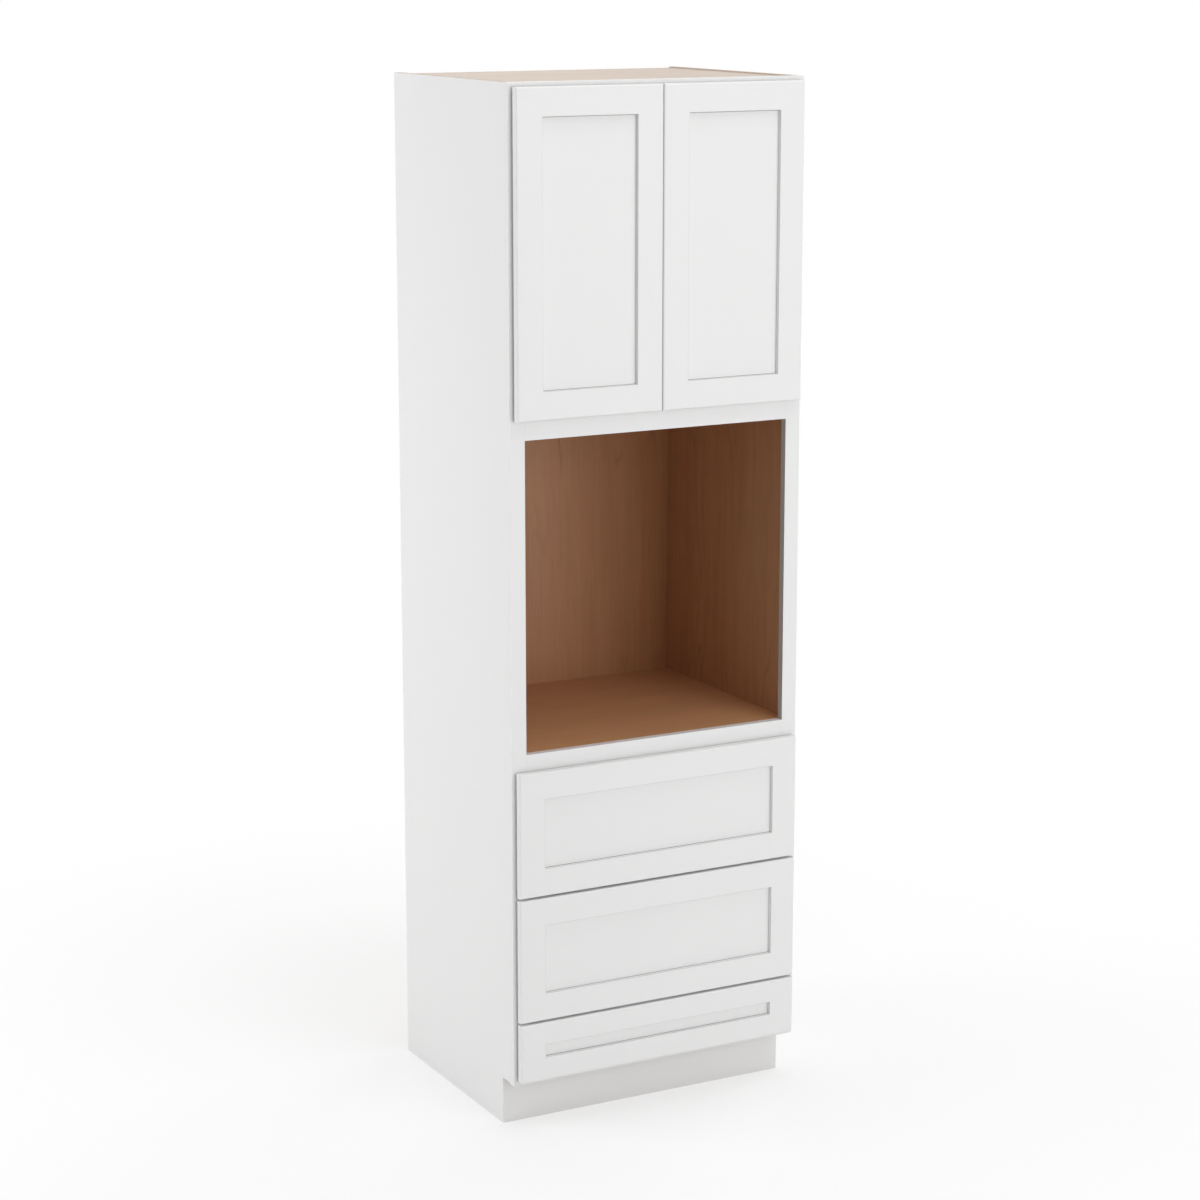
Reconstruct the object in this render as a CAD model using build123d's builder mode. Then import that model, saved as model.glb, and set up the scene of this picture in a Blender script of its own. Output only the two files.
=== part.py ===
from build123d import *
import os

os.makedirs("parts", exist_ok=True)

# Tall oven cabinet with a face frame, two doors, an open oven bay and three drawers.
# Millimetres. X runs left to right, Y front to back and Z up. The origin is on the floor,
# in the middle of the width and of the depth from the drawer fronts to the back.

# Case
width = 762.0
height = 2438.4
case_depth = 606.0
side_thickness = 16.0
frame_overhang = 3.2
back_thickness = 6.0
back_rabbet = 8.0
deck_thickness = 16.0
oven_deck_thickness = 19.0
top_recess = 3.0
dado_depth = 5.0

# Toe kick
toe_height = 114.5
toe_recess = 63.5
toe_board_thickness = 12.0
toe_support_thickness = 16.0

# Face frame, from the floor up
frame_thickness = 19.0
stile_width = 38.0
bottom_rail_height = 38.0
bottom_opening_height = 98.5
drawer_rail_height = 38.0
middle_opening_height = 266.0
top_opening_height = 245.0
oven_rail_height = 76.4
oven_opening_height = 730.2
cupboard_rail_height = 82.4
top_rail_height = 38.4
tenon_length = 10.0
tenon_thickness = 8.0
tenon_shoulder = 6.0

# Inside boards
cleat_thickness = 19.0
cleat_height = 38.0
hanging_rail_thickness = 16.0
hanging_rail_height = 76.0
shelf_thickness = 16.0
shelf_end_gap = 1.5
shelf_front_setback = 20.0
shelf_back_gap = 2.0

# Shelf pins and their rows of holes
pin_radius = 2.5
pin_fit = 0.05
pin_hole_depth = 10.0
pin_shank_length = 9.0
pin_collar_radius = 4.0
pin_collar_thickness = 1.2
pin_peg_length = 9.0
pin_row_inset = 60.0
pin_row_end_distance = 210.0
pin_pitch = 32.0

# Doors and drawer fronts
front_thickness = 19.0
front_gap = 5.5
door_gap = 1.6
side_reveal = 9.5
top_reveal = 9.5
bottom_reveal = 11.5
oven_rail_exposed = 39.0
cupboard_rail_exposed = 45.5
front_stile_width = 65.5
front_rail_height = 66.0
small_front_rail_height = 55.0
front_edge_radius = 4.0
rear_edge_radius = 2.5
inner_edge_radius = 1.0
panel_recess = 9.5
panel_thickness = 6.5
panel_groove_depth = 8.0
panel_play = 0.5
panel_fit = 0.1
bumper_gap = 2.5
bumper_radius = 4.0
bumper_inset = 14.0
bumper_fit = 0.1

# Concealed hinges: a bent arm on the stile, and a cup in the door that turns about a pin
hinge_end_distance = 100.0
cup_radius = 17.4
cup_wall = 1.0
cup_depth = 13.8
cup_fit = 0.1
cup_edge_distance = 3.0
flange_thickness = 1.0
flange_width = 17.0
flange_height = 56.0
hinge_pin_radius = 1.25
hinge_pin_fit = 0.05
hinge_pin_inset = 7.1
hinge_pin_depth = 10.0
knuckle_wall = 0.9
arm_thickness = 1.6
arm_width = 8.0
cheek_gap = 0.4
cheek_thickness = 2.0
cheek_length = 6.0
cheek_inset = 4.5
cheek_reach = 6.3
base_height = 56.0
base_setback = 1.5
base_screw_spacing = 40.0
screw_radius = 1.9
screw_fit = 0.05
screw_clearance = 0.4
screw_length = 16.0
screw_head_radius = 3.6
screw_head_height = 1.6

# Drawer boxes
box_length = 530.0
box_board = 15.0
box_rabbet = 7.5
box_lift = 11.0
deep_box_height = 200.0
small_box_height = 74.0
box_bottom_thickness = 6.0
box_bottom_lift = 10.0
box_groove_depth = 6.0
box_groove_play = 0.5
box_groove_fit = 0.2

# Drawer slides: three nested steel channels on each side of a box
slide_width = 12.7
slide_height = 45.0
slide_length = 520.0
slide_setback = 2.0
slide_sheet = 1.2
slide_play = 0.4
slide_lip_gap = 3.3
deep_slide_lift = 75.0
bracket_sheet = 1.5
bracket_height = 30.0
bracket_foot = 18.0
bracket_lap = 60.0


# Planes and levels worked out from the sizes
case_half = width / 2 - frame_overhang
inner_half = case_half - side_thickness
opening_half = width / 2 - stile_width

front_face_y = -(front_thickness + bumper_gap + case_depth) / 2
front_rear_y = front_face_y + front_thickness
frame_face_y = front_rear_y + bumper_gap
frame_rear_y = frame_face_y + frame_thickness
back_y = frame_face_y + case_depth
back_face_y = back_y - back_thickness
toe_face_y = frame_face_y + toe_recess
toe_rear_y = toe_face_y + toe_board_thickness

bottom_rail_top = toe_height + bottom_rail_height
bottom_opening_top = bottom_rail_top + bottom_opening_height
lower_rail_top = bottom_opening_top + drawer_rail_height
middle_opening_top = lower_rail_top + middle_opening_height
upper_rail_top = middle_opening_top + drawer_rail_height
top_opening_top = upper_rail_top + top_opening_height
oven_floor = top_opening_top + oven_rail_height
oven_opening_top = oven_floor + oven_opening_height
cupboard_floor_top = oven_opening_top + cupboard_rail_height
cupboard_opening_top = height - top_rail_height
top_panel_top = height - top_recess

bottom_deck_span = (bottom_rail_top - deck_thickness, bottom_rail_top)
oven_deck_span = (oven_floor - oven_deck_thickness, oven_floor)
cupboard_floor_span = (cupboard_floor_top - deck_thickness, cupboard_floor_top)
top_panel_span = (top_panel_top - deck_thickness, top_panel_top)

frame_y = (frame_face_y, frame_rear_y)
deck_y = (frame_rear_y, back_face_y)
deck_x = (-inner_half - dado_depth, inner_half + dado_depth)
inner_x = (-inner_half, inner_half)
opening_x = (-opening_half, opening_half)


def slab(x_span, y_span, z_span, mode=Mode.ADD):
    """Add or cut a square-edged block that fills three spans."""
    centre = [sum(span) / 2 for span in (x_span, y_span, z_span)]
    size = [span[1] - span[0] for span in (x_span, y_span, z_span)]
    with Locations(tuple(centre)):
        Box(*size, mode=mode)


def grown(span, amount):
    """A span made longer by the same amount at both ends."""
    return (span[0] - amount, span[1] + amount)


# Side panels: notched for the toe kick, grooved for the decks and rabbeted for the back
pin_rows_y = (frame_rear_y + pin_row_inset, back_face_y - pin_row_inset)
pin_row_start = cupboard_floor_top + pin_row_end_distance
pin_row_length = top_panel_span[0] - pin_row_end_distance - pin_row_start
pin_heights = [pin_row_start + pin_pitch * i for i in range(int(pin_row_length / pin_pitch) + 1)]

with BuildPart() as left_side_panel:
    with BuildSketch(Plane.YZ.offset(-case_half)):
        with BuildLine():
            Polyline(
                (toe_rear_y, 0),
                (back_y, 0),
                (back_y, height),
                (frame_rear_y, height),
                (frame_rear_y, toe_height),
                (toe_rear_y, toe_height),
                close=True,
            )
        make_face()
    extrude(amount=side_thickness)
    for deck_span in (bottom_deck_span, oven_deck_span, cupboard_floor_span, top_panel_span):
        slab((deck_x[0], -inner_half), deck_y, deck_span, mode=Mode.SUBTRACT)
    slab((-inner_half - back_rabbet, -inner_half), (back_face_y, back_y), (0, height), mode=Mode.SUBTRACT)
    with BuildSketch(Plane.YZ.offset(-inner_half)):
        with Locations([(y, z) for y in pin_rows_y for z in pin_heights]):
            Circle(pin_radius + pin_fit)
    extrude(amount=-pin_hole_depth, mode=Mode.SUBTRACT)
left_side_panel.part.label = "left_side_panel"
export_step(left_side_panel.part, "parts/left_side_panel.step")

with BuildPart() as right_side_panel:
    mirror(left_side_panel.part, about=Plane.YZ)
right_side_panel.part.label = "right_side_panel"
export_step(right_side_panel.part, "parts/right_side_panel.step")

# Boards that lie flat between the sides, let into their grooves
with BuildPart() as bottom_deck:
    slab(deck_x, deck_y, bottom_deck_span)
bottom_deck.part.label = "bottom_deck"
export_step(bottom_deck.part, "parts/bottom_deck.step")

with BuildPart() as oven_deck:
    slab(deck_x, deck_y, oven_deck_span)
oven_deck.part.label = "oven_deck"
export_step(oven_deck.part, "parts/oven_deck.step")

with BuildPart() as cupboard_floor:
    slab(deck_x, deck_y, cupboard_floor_span)
cupboard_floor.part.label = "cupboard_floor"
export_step(cupboard_floor.part, "parts/cupboard_floor.step")

with BuildPart() as top_panel:
    slab(deck_x, deck_y, top_panel_span)
top_panel.part.label = "top_panel"
export_step(top_panel.part, "parts/top_panel.step")

# Back panel in the rabbets of the sides
with BuildPart() as back_panel:
    slab(grown(inner_x, back_rabbet), (back_face_y, back_y), (bottom_deck_span[0], top_panel_top))
back_panel.part.label = "back_panel"
export_step(back_panel.part, "parts/back_panel.step")

# Toe board across the notches of the sides, and the support behind it
with BuildPart() as toe_board:
    slab((-case_half, case_half), (toe_face_y, toe_rear_y), (0, toe_height))
toe_board.part.label = "toe_board"
export_step(toe_board.part, "parts/toe_board.step")

with BuildPart() as toe_support:
    slab(inner_x, (toe_rear_y, toe_rear_y + toe_support_thickness), (0, bottom_deck_span[0]))
toe_support.part.label = "toe_support"
export_step(toe_support.part, "parts/toe_support.step")

# Hinge places, needed by the stiles, the arms and the doors
door_x = (-width / 2 + side_reveal, -door_gap / 2)
door_z = (oven_opening_top + cupboard_rail_exposed, height - top_reveal)
hinge_heights = (door_z[0] + hinge_end_distance, door_z[1] - hinge_end_distance)
hinge_pin_x = door_x[0] + hinge_pin_inset
hinge_pin_y = front_rear_y - hinge_pin_depth
base_screw_y = (frame_face_y + frame_rear_y) / 2
base_screw_places = [
    (base_screw_y, z + side * base_screw_spacing / 2) for z in hinge_heights for side in (-1, 1)
]

# Face frame: rails with a tenon at each end, and two stiles with mortises for them and pilot
# holes for the hinge screws
frame_rails = {
    "bottom_rail": [(toe_height, bottom_rail_top)],
    "drawer_rails": [(bottom_opening_top, lower_rail_top), (middle_opening_top, upper_rail_top)],
    "oven_rail": [(top_opening_top, oven_floor)],
    "cupboard_rail": [(oven_opening_top, cupboard_floor_top)],
    "top_rail": [(cupboard_opening_top, height)],
}
tenon_x = grown(opening_x, tenon_length)
tenon_y = grown(frame_y, (tenon_thickness - frame_thickness) / 2)

for rail_name, rail_spans in frame_rails.items():
    with BuildPart() as frame_rail:
        for rail_z in rail_spans:
            slab(opening_x, frame_y, rail_z)
            slab(tenon_x, tenon_y, grown(rail_z, -tenon_shoulder))
    frame_rail.part.label = rail_name
    export_step(frame_rail.part, f"parts/{rail_name}.step")

with BuildPart() as left_stile:
    slab((-width / 2, -opening_half), frame_y, (toe_height, height))
    for rail_spans in frame_rails.values():
        for rail_z in rail_spans:
            slab(tenon_x, tenon_y, grown(rail_z, -tenon_shoulder), mode=Mode.SUBTRACT)
    with BuildSketch(Plane.YZ.offset(-opening_half)):
        with Locations(base_screw_places):
            Circle(screw_radius + screw_fit)
    extrude(amount=-screw_length, mode=Mode.SUBTRACT)
left_stile.part.label = "left_stile"
export_step(left_stile.part, "parts/left_stile.step")

with BuildPart() as right_stile:
    mirror(left_stile.part, about=Plane.YZ)
right_stile.part.label = "right_stile"
export_step(right_stile.part, "parts/right_stile.step")

# Hanging rails against the back, under the top panel and under the oven deck
hanging_y = (back_face_y - hanging_rail_thickness, back_face_y)

with BuildPart() as hanging_rails:
    for ceiling in (top_panel_span[0], oven_deck_span[0]):
        slab(inner_x, hanging_y, (ceiling - hanging_rail_height, ceiling))
hanging_rails.part.label = "hanging_rails"
export_step(hanging_rails.part, "parts/hanging_rails.step")

# Cleats along both sides that carry the oven deck
with BuildPart() as oven_deck_cleats:
    cleat_z = (oven_deck_span[0] - cleat_height, oven_deck_span[0])
    slab((-inner_half, -inner_half + cleat_thickness), (frame_rear_y, hanging_y[0]), cleat_z)
    mirror(about=Plane.YZ)
oven_deck_cleats.part.label = "oven_deck_cleats"
export_step(oven_deck_cleats.part, "parts/oven_deck_cleats.step")

# Adjustable shelf on four pins
shelf_pin_z = pin_heights[len(pin_heights) // 2]
shelf_bottom = shelf_pin_z + pin_radius

with BuildPart() as adjustable_shelf:
    slab(
        grown(inner_x, -shelf_end_gap),
        (frame_rear_y + shelf_front_setback, back_face_y - shelf_back_gap),
        (shelf_bottom, shelf_bottom + shelf_thickness),
    )
adjustable_shelf.part.label = "adjustable_shelf"
export_step(adjustable_shelf.part, "parts/adjustable_shelf.step")

with BuildPart() as shelf_pins:
    pin_places = [(y, shelf_pin_z) for y in pin_rows_y]
    with BuildSketch(Plane.YZ.offset(-inner_half - pin_shank_length)):
        with Locations(pin_places):
            Circle(pin_radius)
    extrude(amount=pin_shank_length + pin_peg_length)
    with BuildSketch(Plane.YZ.offset(-inner_half)):
        with Locations(pin_places):
            Circle(pin_collar_radius)
    extrude(amount=pin_collar_thickness)
    mirror(about=Plane.YZ)
shelf_pins.part.label = "shelf_pins"
export_step(shelf_pins.part, "parts/shelf_pins.step")

# Hinge arms: a knuckle on the pin, a strap inside the cup, a leg past the stile, a base plate
knuckle_radius = hinge_pin_radius + hinge_pin_fit + knuckle_wall
strap_y = (hinge_pin_y - knuckle_radius, hinge_pin_y - knuckle_radius + arm_thickness)
leg_x = (-opening_half, -opening_half + arm_thickness)
base_y = (frame_face_y + base_setback, frame_rear_y - base_setback)

with BuildPart() as hinge_arms:
    for z in hinge_heights:
        arm_z = (z - arm_width / 2, z + arm_width / 2)
        with BuildSketch(Plane.XY.offset(arm_z[0])):
            with Locations((hinge_pin_x, hinge_pin_y)):
                Circle(knuckle_radius)
        extrude(amount=arm_width)
        slab((hinge_pin_x, leg_x[1]), strap_y, arm_z)
        slab(leg_x, (strap_y[0], base_y[1]), arm_z)
        with BuildSketch(Plane.XY.offset(arm_z[0])):
            with Locations((hinge_pin_x, hinge_pin_y)):
                Circle(hinge_pin_radius + hinge_pin_fit)
        extrude(amount=arm_width, mode=Mode.SUBTRACT)
        slab(leg_x, base_y, (z - base_height / 2, z + base_height / 2))
    with BuildSketch(Plane.YZ.offset(leg_x[0])):
        with Locations(base_screw_places):
            Circle(screw_radius + screw_clearance)
    extrude(amount=arm_thickness, mode=Mode.SUBTRACT)
    mirror(about=Plane.YZ)
hinge_arms.part.label = "hinge_arms"
export_step(hinge_arms.part, "parts/hinge_arms.step")

# Pan-head screws that hold the base plates
with BuildPart() as hinge_screws:
    with BuildSketch(Plane.YZ.offset(leg_x[1])):
        with Locations(base_screw_places):
            Circle(screw_radius)
    extrude(amount=-screw_length)
    with BuildSketch(Plane.YZ.offset(leg_x[1])):
        with Locations(base_screw_places):
            Circle(screw_head_radius)
    extrude(amount=screw_head_height)
    mirror(about=Plane.YZ)
hinge_screws.part.label = "hinge_screws"
export_step(hinge_screws.part, "parts/hinge_screws.step")


# Shaker fronts: a frame with rounded outer edges round a panel that sits in its groove
front_y = (front_face_y, front_rear_y)
panel_y = (front_face_y + panel_recess, front_face_y + panel_recess + panel_thickness)
groove_y = grown(panel_y, panel_fit)


def panel_opening(x_span, z_span, rail_height):
    """The spans of the opening that the stiles and rails of a front leave."""
    return grown(x_span, -front_stile_width), grown(z_span, -rail_height)


def front_frame(x_span, z_span, rail_height):
    """The whole frame of a front, before it is parted into stiles and rails."""
    open_x, open_z = panel_opening(x_span, z_span, rail_height)
    with BuildPart() as frame:
        slab(x_span, front_y, z_span)
        fillet(frame.faces().sort_by(Axis.Y)[0].edges(), front_edge_radius)
        fillet(frame.faces().sort_by(Axis.Y)[-1].edges(), rear_edge_radius)
        slab(open_x, front_y, open_z, mode=Mode.SUBTRACT)
        fillet(frame.faces().sort_by(Axis.Y)[0].inner_wires().edges(), inner_edge_radius)
        groove_x = grown(open_x, panel_groove_depth)
        slab(groove_x, groove_y, grown(open_z, panel_groove_depth), mode=Mode.SUBTRACT)
    return frame.part


def front_stiles(x_span, z_span, rail_height):
    """The two upright pieces of a front, grooved from end to end."""
    open_x, open_z = panel_opening(x_span, z_span, rail_height)
    with BuildPart() as stiles:
        add(front_frame(x_span, z_span, rail_height))
        slab(open_x, front_y, z_span, mode=Mode.SUBTRACT)
        slab(grown(open_x, panel_groove_depth), groove_y, z_span, mode=Mode.SUBTRACT)
    return stiles.part


def front_rails(x_span, z_span, rail_height):
    """The two cross pieces of a front, with tongues that fill the grooves of its stiles."""
    open_x, open_z = panel_opening(x_span, z_span, rail_height)
    lower_tongue_z = (z_span[0], open_z[0] - panel_groove_depth)
    upper_tongue_z = (open_z[1] + panel_groove_depth, z_span[1])
    with BuildPart() as rails:
        add(front_frame(x_span, z_span, rail_height))
        slab(open_x, front_y, z_span, mode=Mode.INTERSECT)
        for tongue_z in (lower_tongue_z, upper_tongue_z):
            slab(grown(open_x, panel_groove_depth), groove_y, tongue_z)
    return rails.part


def front_panel(x_span, z_span, rail_height):
    """The flat panel of a front, with its edges in the groove."""
    open_x, open_z = panel_opening(x_span, z_span, rail_height)
    reach = panel_groove_depth - panel_play
    with BuildPart() as panel:
        slab(grown(open_x, reach), panel_y, grown(open_z, reach))
    return panel.part


# Left door: its stiles, bored for the hinge cups, rails and panel
cup_x = door_x[0] + cup_edge_distance + cup_radius + cup_fit

with BuildPart() as left_door_stiles:
    add(front_stiles(door_x, door_z, front_rail_height))
    with BuildSketch(Plane.XZ.offset(-front_rear_y)):
        with Locations([(cup_x, z) for z in hinge_heights]):
            Circle(cup_radius + cup_fit)
    extrude(amount=cup_depth, mode=Mode.SUBTRACT)
left_door_stiles.part.label = "left_door_stiles"
export_step(left_door_stiles.part, "parts/left_door_stiles.step")

with BuildPart() as left_door_rails:
    add(front_rails(door_x, door_z, front_rail_height))
left_door_rails.part.label = "left_door_rails"
export_step(left_door_rails.part, "parts/left_door_rails.step")

with BuildPart() as left_door_panel:
    add(front_panel(door_x, door_z, front_rail_height))
left_door_panel.part.label = "left_door_panel"
export_step(left_door_panel.part, "parts/left_door_panel.step")

# Hinge cups: a round steel cup with two cheeks that hold the pin, and a flange on the door
cup_floor_y = front_rear_y - cup_depth + cup_wall
cheek_x = (door_x[0] + cheek_inset, door_x[0] + cheek_inset + cheek_length)
cheek_inner = arm_width / 2 + cheek_gap
cheek_outer = cheek_inner + cheek_thickness

with BuildPart() as left_hinge_cups:
    with BuildSketch(Plane.XZ.offset(-front_rear_y)):
        with Locations([(cup_x, z) for z in hinge_heights]):
            Circle(cup_radius)
    extrude(amount=cup_depth)
    with BuildSketch(Plane.XZ.offset(-front_rear_y)):
        with Locations([(cup_x, z) for z in hinge_heights]):
            Rectangle(flange_width, flange_height)
    extrude(amount=-flange_thickness)
    with BuildSketch(Plane.XZ.offset(-front_rear_y - flange_thickness)):
        with Locations([(cup_x, z) for z in hinge_heights]):
            Circle(cup_radius - cup_wall)
    extrude(amount=flange_thickness + cup_depth - cup_wall, mode=Mode.SUBTRACT)
    for z in hinge_heights:
        for side in (-1, 1):
            cheek_z = sorted((z + side * cheek_inner, z + side * cheek_outer))
            slab(cheek_x, (cup_floor_y, cup_floor_y + cheek_reach), cheek_z)
        with BuildSketch(Plane.XY.offset(z - cheek_outer)):
            with Locations((hinge_pin_x, hinge_pin_y)):
                Circle(hinge_pin_radius + hinge_pin_fit)
        extrude(amount=2 * cheek_outer, mode=Mode.SUBTRACT)
left_hinge_cups.part.label = "left_hinge_cups"
export_step(left_hinge_cups.part, "parts/left_hinge_cups.step")

with BuildPart() as left_hinge_pins:
    for z in hinge_heights:
        with BuildSketch(Plane.XY.offset(z - cheek_outer)):
            with Locations((hinge_pin_x, hinge_pin_y)):
                Circle(hinge_pin_radius)
        extrude(amount=2 * cheek_outer)
left_hinge_pins.part.label = "left_hinge_pins"
export_step(left_hinge_pins.part, "parts/left_hinge_pins.step")

# Bumpers on the back of the door, near its meeting edge
with BuildPart() as left_door_bumpers:
    with BuildSketch(Plane.XZ.offset(-front_rear_y)):
        with Locations([(door_x[1] - bumper_inset, z) for z in grown(door_z, -bumper_inset)]):
            Circle(bumper_radius)
    extrude(amount=bumper_fit - bumper_gap)
left_door_bumpers.part.label = "left_door_bumpers"
export_step(left_door_bumpers.part, "parts/left_door_bumpers.step")

# Right door: the mirror image of the left one
left_door_pieces = {
    "door_stiles": left_door_stiles.part,
    "door_rails": left_door_rails.part,
    "door_panel": left_door_panel.part,
    "hinge_cups": left_hinge_cups.part,
    "hinge_pins": left_hinge_pins.part,
    "door_bumpers": left_door_bumpers.part,
}
for piece_name, left_piece in left_door_pieces.items():
    with BuildPart() as right_piece:
        mirror(left_piece, about=Plane.YZ)
    right_piece.part.label = f"right_{piece_name}"
    export_step(right_piece.part, f"parts/right_{piece_name}.step")

# Drawers, from the bottom up: name, opening floor, front span, rail height, box height, slide lift
lower_gap_z = (bottom_opening_top + lower_rail_top) / 2
upper_gap_z = (middle_opening_top + upper_rail_top) / 2
drawer_front_x = (-width / 2 + side_reveal, width / 2 - side_reveal)
bottom_front_z = (toe_height + bottom_reveal, lower_gap_z - front_gap / 2)
middle_front_z = (lower_gap_z + front_gap / 2, upper_gap_z - front_gap / 2)
top_front_z = (upper_gap_z + front_gap / 2, oven_floor - oven_rail_exposed)
drawers = [
    ("bottom_drawer", bottom_rail_top, bottom_front_z, small_front_rail_height,
     small_box_height, small_box_height / 2),
    ("middle_drawer", lower_rail_top, middle_front_z, front_rail_height,
     deep_box_height, deep_slide_lift),
    ("top_drawer", upper_rail_top, top_front_z, front_rail_height,
     deep_box_height, deep_slide_lift),
]

# Box and slide places, the same for all three. The ends of a box sit in rabbets of its sides.
box_half = opening_half - slide_width
box_inner_half = box_half - box_board
box_y = (front_rear_y, front_rear_y + box_length)
box_inner_y = grown(box_y, -box_board)
box_end_x = (-box_inner_half - box_rabbet, box_inner_half + box_rabbet)
box_end_spans_y = ((box_y[0], box_inner_y[0]), (box_inner_y[1], box_y[1]))
slide_y = (frame_face_y + slide_setback, frame_face_y + slide_setback + slide_length)


def bottom_slot(box_z):
    """The groove for a box bottom, as spans that reach past all four inner faces."""
    slot_z = (box_z + box_bottom_lift, box_z + box_bottom_lift + box_bottom_thickness + box_groove_fit)
    slot_x = (-box_inner_half - box_groove_depth, box_inner_half + box_groove_depth)
    return slot_x, grown(box_inner_y, box_groove_depth), slot_z


def channel(web_x, lip_x, half_height):
    """Two upright steel channels: a web at web_x with lips that reach to lip_x, and its mirror."""
    toward_box = -1 if lip_x < web_x else 1
    web_inner_x = web_x + toward_box * slide_sheet
    with BuildSketch(Plane.XZ.offset(-slide_y[1])) as profile:
        with BuildLine():
            Polyline(
                (web_x, -half_height),
                (lip_x, -half_height),
                (lip_x, -half_height + slide_sheet),
                (web_inner_x, -half_height + slide_sheet),
                (web_inner_x, half_height - slide_sheet),
                (lip_x, half_height - slide_sheet),
                (lip_x, half_height),
                (web_x, half_height),
                close=True,
            )
        make_face()
        mirror(about=Plane.YZ)
    return profile.sketch


# Slide profiles about their own middle height: outer and middle channels open towards the box,
# the inner channel on the box opens towards them
outer_half_height = slide_height / 2
middle_half_height = outer_half_height - slide_sheet - slide_play
inner_half_height = middle_half_height - slide_sheet - slide_play
middle_web_x = opening_half - slide_sheet - slide_play
outer_profile = channel(opening_half, box_half + slide_lip_gap, outer_half_height)
middle_profile = channel(middle_web_x, box_half + slide_sheet + slide_play, middle_half_height)
inner_profile = channel(box_half, middle_web_x - slide_sheet - slide_play, inner_half_height)

slide_heights = []
for drawer_name, opening_floor, front_z, rail_height, box_height, slide_lift in drawers:
    box_z = opening_floor + box_lift
    box_span = (box_z, box_z + box_height)
    slot_x, slot_y, slot_z = bottom_slot(box_z)
    slide_z = box_z + slide_lift
    slide_heights.append(slide_z)

    with BuildPart() as drawer_front_stiles:
        add(front_stiles(drawer_front_x, front_z, rail_height))
    drawer_front_stiles.part.label = f"{drawer_name}_front_stiles"
    export_step(drawer_front_stiles.part, f"parts/{drawer_name}_front_stiles.step")

    with BuildPart() as drawer_front_rails:
        add(front_rails(drawer_front_x, front_z, rail_height))
    drawer_front_rails.part.label = f"{drawer_name}_front_rails"
    export_step(drawer_front_rails.part, f"parts/{drawer_name}_front_rails.step")

    with BuildPart() as drawer_front_panel:
        add(front_panel(drawer_front_x, front_z, rail_height))
    drawer_front_panel.part.label = f"{drawer_name}_front_panel"
    export_step(drawer_front_panel.part, f"parts/{drawer_name}_front_panel.step")

    with BuildPart() as box_sides:
        slab((-box_half, -box_inner_half), box_y, box_span)
        mirror(about=Plane.YZ)
        for end_y in box_end_spans_y:
            slab(box_end_x, end_y, box_span, mode=Mode.SUBTRACT)
        slab(slot_x, slot_y, slot_z, mode=Mode.SUBTRACT)
    box_sides.part.label = f"{drawer_name}_box_sides"
    export_step(box_sides.part, f"parts/{drawer_name}_box_sides.step")

    with BuildPart() as box_ends:
        for end_y in box_end_spans_y:
            slab(box_end_x, end_y, box_span)
        slab(slot_x, slot_y, slot_z, mode=Mode.SUBTRACT)
    box_ends.part.label = f"{drawer_name}_box_ends"
    export_step(box_ends.part, f"parts/{drawer_name}_box_ends.step")

    with BuildPart() as box_bottom:
        slab(
            grown(slot_x, -box_groove_play),
            grown(slot_y, -box_groove_play),
            (slot_z[0], slot_z[0] + box_bottom_thickness),
        )
    box_bottom.part.label = f"{drawer_name}_box_bottom"
    export_step(box_bottom.part, f"parts/{drawer_name}_box_bottom.step")

    for rail_name, profile in (("middle_slides", middle_profile), ("inner_slides", inner_profile)):
        with BuildPart() as slide_pair:
            extrude(profile.moved(Location((0, 0, slide_z))), amount=slide_length)
        slide_pair.part.label = f"{drawer_name}_{rail_name}"
        export_step(slide_pair.part, f"parts/{drawer_name}_{rail_name}.step")

# Outer channels on the cabinet, all three pairs
with BuildPart() as outer_slides:
    for slide_z in slide_heights:
        extrude(outer_profile.moved(Location((0, 0, slide_z))), amount=slide_length)
outer_slides.part.label = "outer_slides"
export_step(outer_slides.part, "parts/outer_slides.step")

# Brackets that tie the rear ends of the outer channels to the back panel
with BuildPart() as slide_brackets:
    for slide_z in slide_heights:
        bracket_z = (slide_z - bracket_height / 2, slide_z + bracket_height / 2)
        leg_span = (opening_half, opening_half + bracket_sheet)
        foot_span = (opening_half, opening_half + bracket_foot)
        slab(leg_span, (slide_y[1] - bracket_lap, back_face_y), bracket_z)
        slab(foot_span, (back_face_y - bracket_sheet, back_face_y), bracket_z)
    mirror(about=Plane.YZ)
slide_brackets.part.label = "slide_brackets"
export_step(slide_brackets.part, "parts/slide_brackets.step")
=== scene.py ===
"""Looks of a tall oven cabinet: white lacquer, maple veneer, birch plywood, plated steel and the
small screws of its hinges and drawer fronts, in a plain pale studio."""

import math

import bpy
import numpy as np
from bpy.props import FloatProperty, FloatVectorProperty, IntProperty, PointerProperty
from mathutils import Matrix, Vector


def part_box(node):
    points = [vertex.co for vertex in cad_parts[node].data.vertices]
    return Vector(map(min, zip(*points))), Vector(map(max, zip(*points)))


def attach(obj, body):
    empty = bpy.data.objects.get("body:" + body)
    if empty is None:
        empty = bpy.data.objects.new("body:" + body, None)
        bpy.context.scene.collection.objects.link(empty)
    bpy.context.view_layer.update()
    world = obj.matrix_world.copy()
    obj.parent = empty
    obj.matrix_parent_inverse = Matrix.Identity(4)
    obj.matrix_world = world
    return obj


bl_info = {
    "name": "Tall Oven Cabinet",
    "version": (1, 0, 0),
    "blender": (4, 5, 0),
    "location": "View3D > Sidebar > Oven Cabinet",
    "description": "Finishes a tall oven cabinet, adds its small screws and sets the studio",
    "category": "Object",
}

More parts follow.
